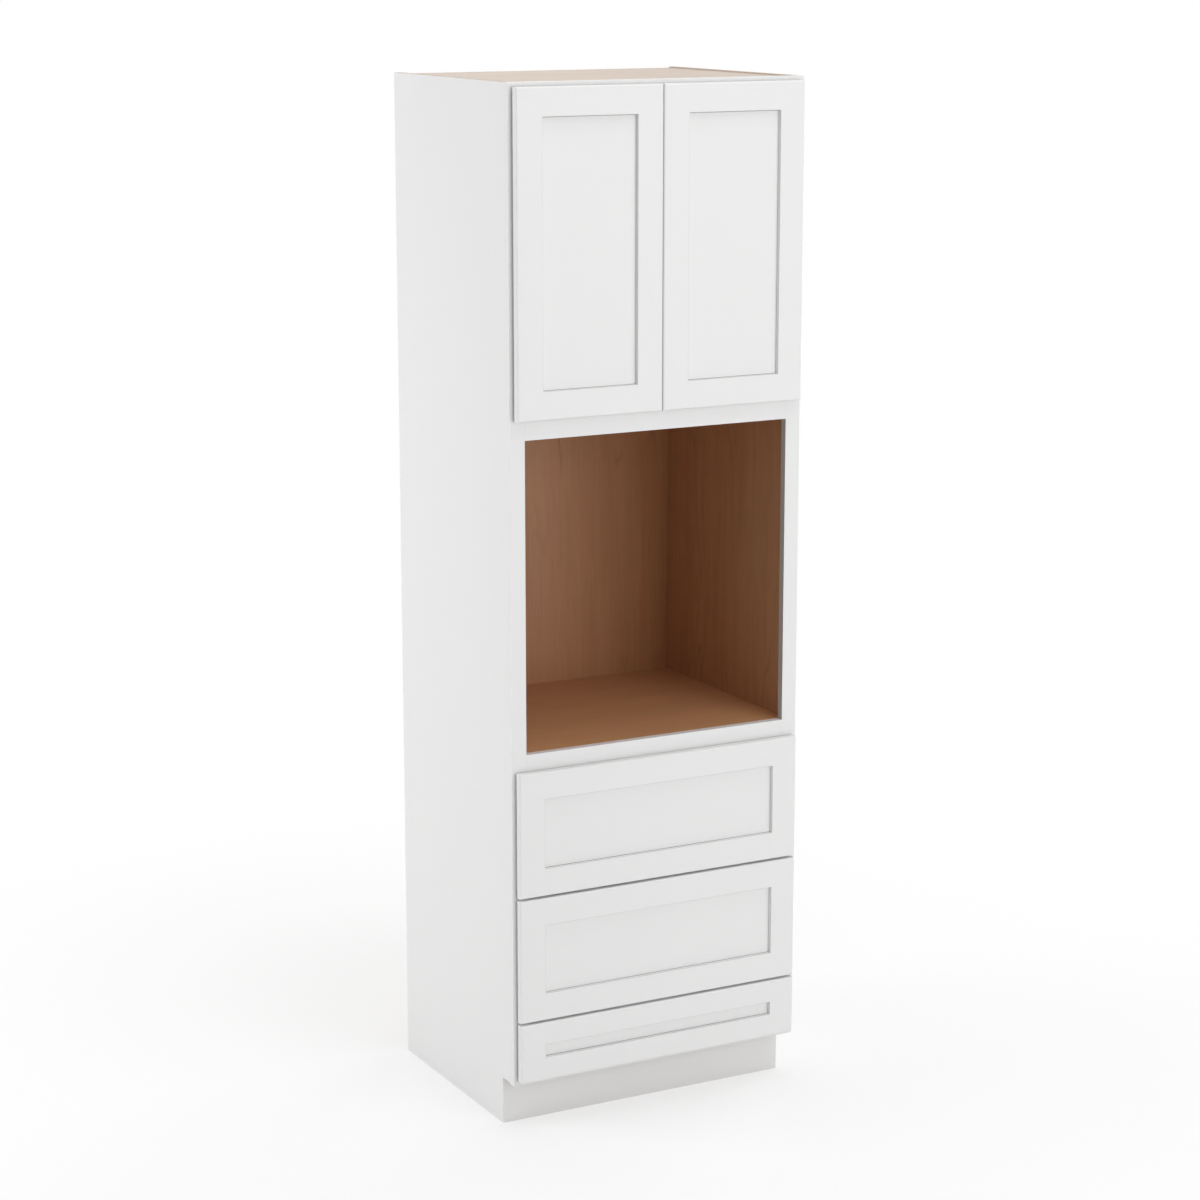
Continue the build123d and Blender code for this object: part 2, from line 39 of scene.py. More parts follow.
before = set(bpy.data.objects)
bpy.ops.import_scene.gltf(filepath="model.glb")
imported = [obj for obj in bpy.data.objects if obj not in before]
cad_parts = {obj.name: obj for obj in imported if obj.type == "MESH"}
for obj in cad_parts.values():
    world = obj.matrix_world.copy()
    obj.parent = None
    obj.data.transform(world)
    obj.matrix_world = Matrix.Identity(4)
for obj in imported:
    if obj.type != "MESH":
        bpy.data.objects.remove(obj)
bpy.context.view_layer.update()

DRAWERS = ("bottom_drawer", "middle_drawer", "top_drawer")
SIDES = ("left", "right")

# The studio's lamps: name, place and width in metres. All of them look at one point.
AIM = (0.0, 0.0, 1.15)
LAMPS = (
    ("front", (1.7, -5.6, 1.9), 3.6),
    ("high", (0.8, -5.4, 5.6), 2.2),
    ("near", (0.4, -2.0, 5.9), 2.5),
    ("left", (-4.6, 1.7, 2.2), 3.0),
    ("right", (4.6, 1.7, 2.2), 3.0),
    ("rear", (0.8, 5.4, 2.0), 3.6),
    ("top", (0.0, 0.0, 5.4), 2.5),
)

# The camera: its place in metres, and how far it tilts down and turns right, in degrees.
CAMERA_PLACE = (-3.3096, -6.2034, 2.7285)
CAMERA_TILT = 12.362
CAMERA_TURN = 28.113


# Shader expressions


class Signal:
    """A socket whose value changes over a surface. Arithmetic on it adds Math nodes."""

    def __init__(self, finish, socket):
        self.finish = finish
        self.socket = socket

    def __add__(self, other):
        return self.finish.math("ADD", self, other)

    def __radd__(self, other):
        return self.finish.math("ADD", other, self)

    def __sub__(self, other):
        return self.finish.math("SUBTRACT", self, other)

    def __rsub__(self, other):
        return self.finish.math("SUBTRACT", other, self)

    def __mul__(self, other):
        return self.finish.math("MULTIPLY", self, other)

    def __rmul__(self, other):
        return self.finish.math("MULTIPLY", other, self)

    def __abs__(self):
        return self.finish.math("ABSOLUTE", self)

    def ramp(self, low, high):
        """Smooth step: 0 below low, 1 above high."""
        node = self.finish.add(
            "ShaderNodeMapRange",
            {"interpolation_type": "SMOOTHSTEP"},
            {"Value": self, "From Min": low, "From Max": high},
        )
        return Signal(self.finish, node.outputs["Result"])


class Nodes:
    """The node tree of a material or of the world, with the few ways in which nodes join it."""

    def __init__(self, owner):
        owner.use_nodes = True
        self.tree = owner.node_tree

    def add(self, kind, settings=None, values=None):
        """Add one node: settings are set first, then its sockets get values or links."""
        node = self.tree.nodes.new(kind)
        for name, value in (settings or {}).items():
            setattr(node, name, value)
        for key, value in (values or {}).items():
            self.feed(node.inputs[key], value)
        return node

    def feed(self, socket, value):
        """Give a socket a number, a colour, a link or a signal."""
        if isinstance(value, Signal):
            self.tree.links.new(value.socket, socket)
        elif isinstance(value, bpy.types.NodeSocket):
            self.tree.links.new(value, socket)
        else:
            socket.default_value = value

    def math(self, operation, *values):
        node = self.add("ShaderNodeMath", {"operation": operation}, dict(enumerate(values)))
        return Signal(self, node.outputs[0])

    def seen(self):
        """1 for rays that show the background: from the camera, off a gloss or through glass."""
        rays = self.add("ShaderNodeLightPath").outputs
        straight = self.math("MAXIMUM", rays["Is Camera Ray"], rays["Is Glossy Ray"])
        return self.math("MAXIMUM", straight, rays["Is Transmission Ray"])

    def end(self, kind, shader):
        """Lead a shader to the Surface socket of the tree's output node."""
        output = next(node for node in self.tree.nodes if node.bl_idname == kind)
        self.feed(output.inputs["Surface"], shader.outputs[0])


class Finish(Nodes):
    """A node material in the making, with the piece's own place and facing at hand."""

    def __init__(self, name):
        self.material = bpy.data.materials.new(name)
        super().__init__(self.material)
        self.surface = self.tree.nodes["Principled BSDF"]
        coordinates = self.add("ShaderNodeTexCoord")
        self.place = coordinates.outputs["Object"]
        self.facing = coordinates.outputs["Normal"]

    def axes(self, vector):
        """The three components of a vector, as signals."""
        node = self.add("ShaderNodeSeparateXYZ", None, {0: vector})
        return [Signal(self, output) for output in node.outputs]

    def vector(self, parts):
        """Three numbers or signals as one vector."""
        return self.add("ShaderNodeCombineXYZ", None, dict(enumerate(parts))).outputs[0]

    def noise(self, scale, detail=2.0, roughness=0.5, offset=(0.0, 0.0, 0.0), at=None):
        """Noise over the piece's place, with its own scale along each axis, in cycles a metre."""
        placed = self.add(
            "ShaderNodeVectorMath",
            {"operation": "MULTIPLY_ADD"},
            {0: at or self.place, 1: scale, 2: offset},
        )
        node = self.add(
            "ShaderNodeTexNoise",
            None,
            {"Vector": placed.outputs[0], "Scale": 1.0, "Detail": detail, "Roughness": roughness},
        )
        return Signal(self, node.outputs["Fac"])

    def blend(self, amount, first, second):
        """A colour between two colours."""
        node = self.add(
            "ShaderNodeMix", {"data_type": "RGBA"}, {0: amount, 6: first, 7: second}
        )
        return node.outputs[2]

    def dress(self, **values):
        """Feed the surface shader's sockets by name, with _ for each space."""
        for name, value in values.items():
            self.feed(self.surface.inputs[name.replace("_", " ")], value)
        return self.material

    def relief(self, height, distance):
        """A bump of the given height in metres, as a normal for the surface."""
        node = self.add(
            "ShaderNodeBump", None, {"Strength": 1.0, "Distance": distance, "Height": height}
        )
        return node.outputs["Normal"]


def rgba(colour, factor=1.0):
    """A colour property as four numbers, made lighter or darker by a factor."""
    return (*(min(1.0, part * factor) for part in colour), 1.0)


def tinted(colour, tint):
    """A colour whose three parts are each multiplied by one of the tint's."""
    return [part * share for part, share in zip(colour, tint)]


def stretched(grain, across, along):
    """Noise scale for fibres that run along one axis: fine across them and slow along them."""
    return tuple(along if axis == grain else across for axis in "xyz")


# Properties


class LacquerSettings(bpy.types.PropertyGroup):
    colour: FloatVectorProperty(
        name="Paint", description="Colour of the white lacquer",
        subtype="COLOR", size=3, min=0, max=1, default=(0.80, 0.80, 0.797),
    )
    gloss: FloatProperty(
        name="Roughness", description="How dull the lacquer is",
        subtype="FACTOR", min=0, max=1, default=0.42,
    )
    spray: FloatProperty(
        name="Spray texture", description="Height of the fine ripple that spraying leaves",
        subtype="DISTANCE", unit="LENGTH", min=0, max=0.0005, default=0.00003, precision=6,
    )
    hairline: FloatProperty(
        name="Hairline", description="Half width of the line where a rail meets a stile",
        subtype="DISTANCE", unit="LENGTH", min=0, max=0.001, default=0.00025, precision=5,
    )
    # Painted shadow: the width of the dark line in the seams round a floating panel.
    seam: FloatProperty(
        name="Seam", description="Width of the open line round a floating panel",
        subtype="DISTANCE", unit="LENGTH", min=0, max=0.003, default=0.0012, precision=5,
    )
    # Painted shade: the width of the dark line at the arrises round a panel, standing in for the
    # shade in its recess.
    arris_shade: FloatProperty(
        name="Arris", description="Width of the line where the paint breaks over an edge",
        subtype="DISTANCE", unit="LENGTH", min=0, max=0.003, default=0.0011, precision=5,
    )
    rim: FloatProperty(
        name="Rear edge", description="Depth of the rounded rear edge of doors and drawer fronts",
        subtype="DISTANCE", unit="LENGTH", min=0, max=0.01, default=0.003, precision=4,
    )
    # Painted shade: how dark the rounded rear edge of a door or drawer front is painted.
    rim_painted_shade: FloatProperty(
        name="Rear edge shade", description="How dull the paint on that edge is",
        subtype="FACTOR", min=0, max=1, default=0.5,
    )
    stile: FloatProperty(
        name="Stile", description="Width of the stiles of doors and drawer fronts",
        subtype="DISTANCE", unit="LENGTH", min=0.02, max=0.2, default=0.0655, precision=4,
    )
    rail: FloatProperty(
        name="Rail", description="Width of the rails of doors and drawer fronts",
        subtype="DISTANCE", unit="LENGTH", min=0.02, max=0.2, default=0.066, precision=4,
    )
    low_rail: FloatProperty(
        name="Low rail", description="Width of the rails of the bottom drawer front",
        subtype="DISTANCE", unit="LENGTH", min=0.02, max=0.2, default=0.055, precision=4,
    )


class VeneerSettings(bpy.types.PropertyGroup):
    light: FloatVectorProperty(
        name="Light wood", description="Lightest colour of the maple veneer",
        subtype="COLOR", size=3, min=0, max=1, default=(0.53, 0.30, 0.16),
    )
    dark: FloatVectorProperty(
        name="Dark wood", description="Colour of the veneer's darker streaks",
        subtype="COLOR", size=3, min=0, max=1, default=(0.39, 0.205, 0.105),
    )
    streak: FloatProperty(
        name="Streaks", description="Streaks across a metre of veneer",
        min=5, max=200, default=52,
    )
    gloss: FloatProperty(
        name="Roughness", description="How dull the clear coat is",
        subtype="FACTOR", min=0, max=1, default=0.48,
    )


class PlywoodSettings(bpy.types.PropertyGroup):
    face: FloatVectorProperty(
        name="Face", description="Colour of the bare face veneer",
        subtype="COLOR", size=3, min=0, max=1, default=(0.64, 0.54, 0.46),
    )
    core: FloatVectorProperty(
        name="Core", description="Colour of the darker plies in the edges",
        subtype="COLOR", size=3, min=0, max=1, default=(0.42, 0.30, 0.20),
    )
    ply: FloatProperty(
        name="Ply", description="Thickness of one ply",
        subtype="DISTANCE", unit="LENGTH", min=0.0003, max=0.004, default=0.00145, precision=5,
    )


class SteelSettings(bpy.types.PropertyGroup):
    colour: FloatVectorProperty(
        name="Plating", description="Colour of the zinc or nickel plating",
        subtype="COLOR", size=3, min=0, max=1, default=(0.60, 0.61, 0.63),
    )
    gloss: FloatProperty(
        name="Roughness", description="How dull the plating is",
        subtype="FACTOR", min=0, max=1, default=0.34,
    )


class ScrewSettings(bpy.types.PropertyGroup):
    front_head: FloatProperty(
        name="Front screw head", description="Radius of the screws that hold the drawer fronts",
        subtype="DISTANCE", unit="LENGTH", min=0.002, max=0.008, default=0.0048, precision=5,
    )
    cup_head: FloatProperty(
        name="Cup screw head", description="Radius of the screws that hold the hinge cups",
        subtype="DISTANCE", unit="LENGTH", min=0.001, max=0.006, default=0.0034, precision=5,
    )
    arm_head: FloatProperty(
        name="Adjusting screw head", description="Radius of the hinge plates' adjusting screws",
        subtype="DISTANCE", unit="LENGTH", min=0.001, max=0.004, default=0.0026, precision=5,
    )
    pitch: FloatProperty(
        name="Plate screw pitch", description="Distance between the two screws of a hinge plate",
        subtype="DISTANCE", unit="LENGTH", min=0.01, max=0.1, default=0.04, precision=4,
    )
    plate: FloatProperty(
        name="Hinge plate", description="Thickness of a hinge plate, and of the screw heads on it",
        subtype="DISTANCE", unit="LENGTH", min=0.0005, max=0.004, default=0.0016, precision=5,
    )
    rings: IntProperty(
        name="Rings", description="Rings of faces on a screw head",
        min=6, max=40, default=16,
    )


class StapleSettings(bpy.types.PropertyGroup):
    length: FloatProperty(
        name="Crown", description="Length of a staple's crown",
        subtype="DISTANCE", unit="LENGTH", min=0.003, max=0.03, default=0.0105, precision=4,
    )
    width: FloatProperty(
        name="Wire", description="Width of the staple wire",
        subtype="DISTANCE", unit="LENGTH", min=0.0004, max=0.003, default=0.0013, precision=5,
    )
    rise: FloatProperty(
        name="Rise", description="How far a crown stands out of the back",
        subtype="DISTANCE", unit="LENGTH", min=0.00005, max=0.001, default=0.0002, precision=5,
    )
    inset: FloatProperty(
        name="Inset", description="Distance of the upright rows from the edges of the back",
        subtype="DISTANCE", unit="LENGTH", min=0.001, max=0.03, default=0.0035, precision=5,
    )
    upright: IntProperty(
        name="Staples a side", description="Staples along each upright edge",
        min=2, max=60, default=17,
    )
    level: IntProperty(
        name="Staples a board", description="Staples along each board and rail",
        min=2, max=20, default=6,
    )


class StudioSettings(bpy.types.PropertyGroup):
    lens: FloatProperty(
        name="Lens", description="Focal length of the camera on a 36 mm sensor",
        min=20, max=200, default=89.49,
    )
    front_light: FloatProperty(
        name="Front light", description="Power of the large lamp in front",
        min=0, max=2000, default=107,
    )
    high_light: FloatProperty(
        name="High light", description="Power of the lamp high in front",
        min=0, max=2000, default=32,
    )
    left_light: FloatProperty(
        name="Left light", description="Power of the lamp at the left",
        min=0, max=2000, default=110,
    )
    near_light: FloatProperty(
        name="Near light", description="Power of the lamp above the front",
        min=0, max=2000, default=52,
    )
    right_light: FloatProperty(
        name="Right light", description="Power of the lamp at the right",
        min=0, max=2000, default=85,
    )
    rear_light: FloatProperty(
        name="Rear light", description="Power of the lamp behind",
        min=0, max=2000, default=60,
    )
    top_light: FloatProperty(
        name="Top light", description="Power of the lamp overhead",
        min=0, max=2000, default=33,
    )
    fill: FloatProperty(
        name="Fill", description="Level of the even light from all round",
        min=0, max=2, default=0.33,
    )
    floor_size: FloatProperty(
        name="Floor", description="Width of the floor",
        subtype="DISTANCE", unit="LENGTH", min=5, max=200, default=60,
    )


# Materials

# Shares of the paint's own colour: in a dark line (the dark joints, and the painted shade and
# painted shadow at arrises, seams and rear edges), and where the coat is thin and thick.
LINE_SHADE = 0.12
THIN_COAT = 0.992
THICK_COAT = 1.008

# How dark the paint's lines are, from 0 to 1. The lines at a panel's arrises and in its seams are
# painted shade and painted shadow of the recess; the joint lines are dark joints.
ARRIS_SHADE_DEPTH = 0.42
FRAME_JOINT_DEPTH = 0.45
JOINT_DEPTH = 0.05
SEAM_SHADOW_DEPTH = 0.9
TOP_SEAM_SHADOW_DEPTH = 0.95

# Share of a line's reach over which it is darkest, and the metres over which a line ends where it
# stops behind the front, and above or below a height.
LINE_CORE = 0.4
BACK_FADE = 0.0003
END_FADE = 0.0004

# A face whose facing along an axis is in this range is part way between edge and flat.
FLAT_RANGE = (0.4, 0.6)

# Factors for the three parts of a wood colour that make it more golden and redder.
GOLDEN_TINT = (0.98, 1.03, 0.985)
RED_TINT = (1.02, 0.97, 0.995)


class PaintLine:
    """A dark line in the paint: a dark joint where parts meet, or painted shade and painted shadow
    at an edge, in a recess or round a panel.
    It runs at distances to either side of the middle, at heights, or at both, and spreads as far as
    its reach. Where they are given, it ends at the depth back and between the heights of span."""

    def __init__(self, reach, depth, distances=(), heights=(), back=None, span=None):
        self.reach = reach
        self.depth = depth
        self.distances = distances
        self.heights = heights
        self.back = back
        self.span = span

    def shade(self, finish, across, inward, up):
        """How dark the line makes each place: its depth in its core, and nothing past its reach."""
        gaps = [abs(abs(across) - distance) for distance in self.distances]
        gaps += [abs(up - height) for height in self.heights]
        nearest = gaps[0]
        for gap in gaps[1:]:
            nearest = finish.math("MINIMUM", gap, nearest)
        shade = self.depth * (1.0 - nearest.ramp(LINE_CORE * self.reach, self.reach))
        if self.back is not None:
            shade = shade * (1.0 - inward.ramp(self.back - BACK_FADE, self.back))
        if self.span is not None:
            low, high = self.span
            shade = shade * up.ramp(low - END_FADE, low) * (1.0 - up.ramp(high, high + END_FADE))
        return shade


def sprayed(finish, paint):
    """Colour, drift and ripple of sprayed lacquer. The colour drifts by about 1 percent, and the
    ripple is a fine orange peel."""
    drift = finish.noise((2.3, 2.3, 1.1))
    ripple = finish.noise((720.0, 720.0, 720.0), 1.0)
    colour = finish.blend(drift, rgba(paint.colour, THIN_COAT), rgba(paint.colour, THICK_COAT))
    return colour, drift, ripple


def lacquer(name, grain, *lines, rim=None):
    """White sprayed lacquer with dark lines in it, dark joints and painted shade and shadow, over
    close-grained wood whose fibres show faintly along the grain. Faces behind the depth rim that
    don't look back are a rounded rear edge, darkened there as painted shade."""
    settings = bpy.context.scene.cabinet_lacquer
    finish = Finish(name)
    across, inward, up = finish.axes(finish.place)
    colour, drift, ripple = sprayed(finish, settings)
    fibres = finish.noise(stretched(grain, 260.0, 5.0), 2.0, 0.6)
    dark = rgba(settings.colour, LINE_SHADE)
    for line in lines:
        colour = finish.blend(line.shade(finish, across, inward, up), colour, dark)
    # Painted shade: the rounded rear edge of a front is darkened, for the shade in the gap behind
    # it.
    if rim is not None:
        _, looks_back, _ = finish.axes(finish.facing)
        edge = inward.ramp(rim - END_FADE, rim) * (1.0 - looks_back.ramp(0.8, 0.95))
        colour = finish.blend(settings.rim_painted_shade * edge, colour, dark)
    return finish.dress(
        Base_Color=colour,
        Roughness=settings.gloss + 0.08 * (fibres - 0.5) + 0.04 * (drift - 0.5),
        Normal=finish.relief(ripple + 0.7 * fibres, settings.spray),
        IOR=1.48,
    )


def shaker_paint(front, x_span, z_span, rail, grain):
    """Materials for the stiles, rails and panel of one front. The arrises round its panel carry
    painted shade, the rails meet the stiles in a faint dark hairline, and painted shadow runs round
    the panel in its seams, widest at the top and narrow at the sides."""
    settings = bpy.context.scene.cabinet_lacquer
    joints = [abs(x) for x in (x_span[0] + settings.stile, x_span[1] - settings.stile)]
    edges = (z_span[0] + rail, z_span[1] - rail)
    low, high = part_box("top_drawer_front_stiles")
    # Painted shade on the rounded rear edges of the front, behind this depth.
    rim = high.y - settings.rim
    # Painted shade along the arrises round the panel, for the shade in its recess.
    arris_shade = {"reach": settings.arris_shade, "depth": ARRIS_SHADE_DEPTH, "back": low.y + settings.arris_shade}
    stiles = lacquer(
        f"lacquer_{front}_stiles", "z", PaintLine(distances=joints, span=edges, **arris_shade), rim=rim
    )
    rails = lacquer(
        f"lacquer_{front}_rails",
        "x",
        PaintLine(settings.hairline, JOINT_DEPTH, distances=joints),
        PaintLine(heights=edges, **arris_shade),
        rim=rim,
    )
    panel = lacquer(
        f"lacquer_{front}_panel",
        grain,
        # Painted shadow in the seams round the panel: narrow at the sides, wider at the bottom,
        # widest and darkest under the top rail.
        PaintLine(0.3 * settings.seam, SEAM_SHADOW_DEPTH, distances=joints),
        PaintLine(settings.seam, SEAM_SHADOW_DEPTH, heights=edges[:1]),
        PaintLine(1.6 * settings.seam, TOP_SEAM_SHADOW_DEPTH, heights=edges[1:]),
    )
    return stiles, rails, panel


def maple(finish, grain, light, dark, figure=1.0):
    """Colour, fibres and flecks of maple. Soft bands and fine streaks, some redder and some more
    golden, are noise drawn out along the grain and swayed sideways by a slow noise. The darker
    growth lines are the thin contours of a noise that is drawn out too, in patches, and the flecks
    are the peaks of a short-fibred noise."""
    streak = bpy.context.scene.cabinet_veneer.streak
    sway = finish.noise(stretched(grain, 3.0, 2.4), 1.0, 0.4, (4.0, 4.4, 4.9))
    shift = [0.0 if axis == grain else 0.07 * (sway - 0.5) for axis in "xyz"]
    swayed = finish.add(
        "ShaderNodeVectorMath",
        {"operation": "ADD"},
        {0: finish.place, 1: finish.vector(shift)},
    ).outputs[0]

    def strands(across, along, detail, roughness, offset=(0.0, 0.0, 0.0)):
        return finish.noise(stretched(grain, across, along), detail, roughness, offset, swayed)

    bands = strands(streak, 1.7, 2.0, 0.5)
    broad = strands(streak / 5.0, 0.8, 1.0, 0.5, (3.1, 1.7, 0.4))
    streaks = strands(streak * 3.0, 2.4, 2.0, 0.6, (1.9, 8.1, 5.5))
    redness = strands(streak * 0.7, 1.9, 1.0, 0.5, (6.2, 3.3, 7.4))
    contour = strands(12.0, 0.8, 1.0, 0.4, (0.3, 5.2, 2.2))
    patches = finish.noise(stretched(grain, 10.0, 3.0), 1.0, 0.5, (8.0, 2.0, 4.0)).ramp(0.5, 0.66)
    growth = (1.0 - abs(finish.math("SINE", 30.0 * contour)).ramp(0.0, 0.3)) * patches
    fibres = finish.noise(stretched(grain, 520.0, 7.0), 2.0, 0.7)
    flecks = strands(210.0, 12.0, 1.0, 0.5, (0.0, 9.0, 1.0)).ramp(0.66, 0.8) * patches

    figured = 0.7 * (bands - 0.5) + 0.65 * (broad - 0.5)
    figured = figured + 0.7 * (streaks - 0.5) + 0.35 * (fibres - 0.5)
    golden, red = rgba(tinted(light, GOLDEN_TINT)), rgba(tinted(light, RED_TINT))
    body = finish.blend(redness.ramp(0.35, 0.65), golden, red)
    body = finish.blend(0.5 + figure * figured, body, rgba(dark))
    colour = finish.blend(figure * (0.3 * growth + 0.35 * flecks), body, rgba(dark, 0.5))
    return colour, fibres, flecks


def veneer(name, grain, figure=1.0, light_and_shade_tone=(1.0, 1.0, 1.0), raw_side=None):
    """Clear-coated maple veneer. Where raw_side names an axis, faces that look along it are bare
    and paler. A tone multiplies its colours, as painted shade or painted light on a whole board."""
    settings = bpy.context.scene.cabinet_veneer
    finish = Finish(name)
    light, dark = tinted(settings.light, light_and_shade_tone), tinted(settings.dark, light_and_shade_tone)
    colour, fibres, flecks = maple(finish, grain, light, dark, figure)
    rough = settings.gloss + 0.12 * (fibres - 0.5)
    if raw_side:
        looks = finish.axes(finish.facing)["xyz".index(raw_side)].ramp(*FLAT_RANGE)
        plain = bpy.context.scene.cabinet_plywood
        bare, _, _ = maple(finish, grain, plain.face, [0.82 * part for part in plain.face])
        colour = finish.blend(looks, colour, bare)
        rough = rough + 0.25 * looks
    return finish.dress(
        Base_Color=colour,
        Roughness=rough,
        Normal=finish.relief(fibres - 0.6 * flecks, 0.00004),
        Coat_Weight=0.12,
        Coat_Roughness=0.35,
    )


def edge_plies(finish, depth, settings):
    """Colour of a plywood edge: plies alternate with the sine of the depth through the board, and
    the end-grain plies are darker and speckled."""
    turns = finish.math("SINE", depth * (math.pi / settings.ply))
    speckle = finish.noise((900.0, 900.0, 900.0), 1.0)
    dark_ply = (turns + 0.5 * (speckle - 0.5)).ramp(-0.25, 0.25)
    amount = dark_ply * (0.55 + 0.5 * speckle)
    return finish.blend(amount, rgba(settings.face, 0.92), rgba(settings.core))


def plywood(name, grain, through):
    """Bare birch plywood. through is the axis of the board's thickness: faces along it show face
    veneer, and the other faces show plies."""
    settings = bpy.context.scene.cabinet_plywood
    finish = Finish(name)
    facing = finish.axes(finish.facing)["xyz".index(through)]
    depth = finish.axes(finish.place)["xyz".index(through)]
    on_face = abs(facing).ramp(*FLAT_RANGE)
    dark = [0.84 * part for part in settings.face]
    face, fibres, flecks = maple(finish, grain, settings.face, dark)
    colour = finish.blend(on_face, edge_plies(finish, abs(depth), settings), face)
    return finish.dress(
        Base_Color=colour,
        Roughness=0.62 + 0.1 * (fibres - 0.5),
        Normal=finish.relief(fibres - 0.5 * flecks, 0.00005),
    )


def side_board(name):
    """A side panel: lacquer on the outer face, veneer on the inner face, bare wood above the top
    panel, and plies on its edges."""
    paint = bpy.context.scene.cabinet_lacquer
    wood = bpy.context.scene.cabinet_veneer
    plain = bpy.context.scene.cabinet_plywood
    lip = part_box("top_panel")[1].z
    outer = max(abs(corner.x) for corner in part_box("left_side_panel"))
    film = 0.0003

    finish = Finish(name)
    across, _, up = finish.axes(finish.place)
    looks_across, _, _ = finish.axes(finish.facing)
    is_outer = abs(across).ramp(outer - 2 * film, outer - film)
    is_flat = abs(looks_across).ramp(*FLAT_RANGE)
    grained, fibres, flecks = maple(finish, "z", wood.light, wood.dark)
    grained = finish.blend(up.ramp(lip - 2 * film, lip), grained, rgba(plain.face, 0.9))
    edges = edge_plies(finish, abs(across), plain)
    painted, _, ripple = sprayed(finish, paint)
    flat = finish.blend(is_outer, grained, painted)
    return finish.dress(
        Base_Color=finish.blend(is_flat, edges, flat),
        Roughness=0.66 - is_flat * (0.18 + 0.06 * is_outer) + 0.08 * (fibres - 0.5),
        Normal=finish.relief(ripple + 0.7 * (fibres - flecks), paint.spray),
    )


def plated_steel(name, brush, factor=1.0, rough=0.0):
    """Plated sheet steel. Fine lines along one axis change its roughness and its height."""
    settings = bpy.context.scene.cabinet_steel
    finish = Finish(name)
    lines = finish.noise(stretched(brush, 1300.0, 14.0), 2.0, 0.6)
    clouds = finish.noise((45.0, 45.0, 45.0), 2.0)
    dull, bright = (rgba(settings.colour, share * factor) for share in (0.9, 1.06))
    colour = finish.blend(clouds, dull, bright)
    return finish.dress(
        Base_Color=colour,
        Metallic=1.0,
        Roughness=settings.gloss + rough + 0.16 * (lines - 0.5) + 0.12 * (clouds - 0.5),
        Normal=finish.relief(lines, 0.00001),
    )


def soft_rubber(name):
    """Clear soft rubber that has gone slightly milky, with a matt moulded skin."""
    finish = Finish(name)
    cloud = finish.noise((380.0, 380.0, 380.0), 2.0)
    return finish.dress(
        Base_Color=finish.blend(cloud, (0.74, 0.74, 0.72, 1.0), (0.84, 0.84, 0.81, 1.0)),
        Roughness=0.5 + 0.2 * (cloud - 0.5),
        Normal=finish.relief(cloud, 0.00004),
    )


def give(material, *names):
    """Put one material on the named parts of the frame."""
    for name in names:
        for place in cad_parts[name].material_slots:
            place.link = "OBJECT"
            place.material = material


# Shapes

# The cross in a screw head, as shares of the head's radius, and its depth as a share of the height.
CROSS_HALF_WIDTH = 0.13
CROSS_WALL = 0.05
CROSS_REACH = 0.62
CROSS_END = 0.08
CROSS_DEPTH = 0.75

# Rings of corners along a staple's crown, and corners in each of them.
STAPLE_RINGS = 9
STAPLE_TURNS = 8


def copies(shape, spots):
    """The corners of one shape, moved to each of the spots, as one array."""
    return (shape[None, :, :] + np.asarray(spots)[:, None, :]).reshape(-1, 3)


def ring_faces(rings, turns, count):
    """Faces of copies of a closed skin over rings of corners, each with the same number of turns.
    Bands of four-sided faces join the rings, and fans close the first and last ring at the two
    poles, which are numbered after the rings."""
    ring, step = np.meshgrid(np.arange(rings - 1), np.arange(turns), indexing="ij")
    after = (step + 1) % turns
    here, there = ring * turns, (ring + 1) * turns
    bands = np.stack([here + step, there + step, there + after, here + after], axis=-1)
    steps = np.arange(turns)
    following = (steps + 1) % turns
    first, last = np.full(turns, rings * turns), np.full(turns, rings * turns + 1)
    rim = (rings - 1) * turns
    near_fan = np.stack([first, steps, following], axis=1)
    far_fan = np.stack([last, rim + following, rim + steps], axis=1)
    shifts = np.arange(count)[:, None, None] * (rings * turns + 2)
    faces = []
    for patch in (bands.reshape(-1, 4), np.vstack([near_fan, far_fan])):
        faces += (patch[None] + shifts).reshape(-1, patch.shape[1]).tolist()
    return faces


def new_piece(name, body, corners, faces, material):
    """A smooth mesh object that rides on a body, with its finish in its one material slot."""
    mesh = bpy.data.meshes.new(name)
    mesh.from_pydata(corners.tolist(), [], faces)
    mesh.shade_smooth()
    mesh.materials.append(material)
    piece = bpy.data.objects.new(name, mesh)
    bpy.context.scene.collection.objects.link(piece)
    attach(piece, body)


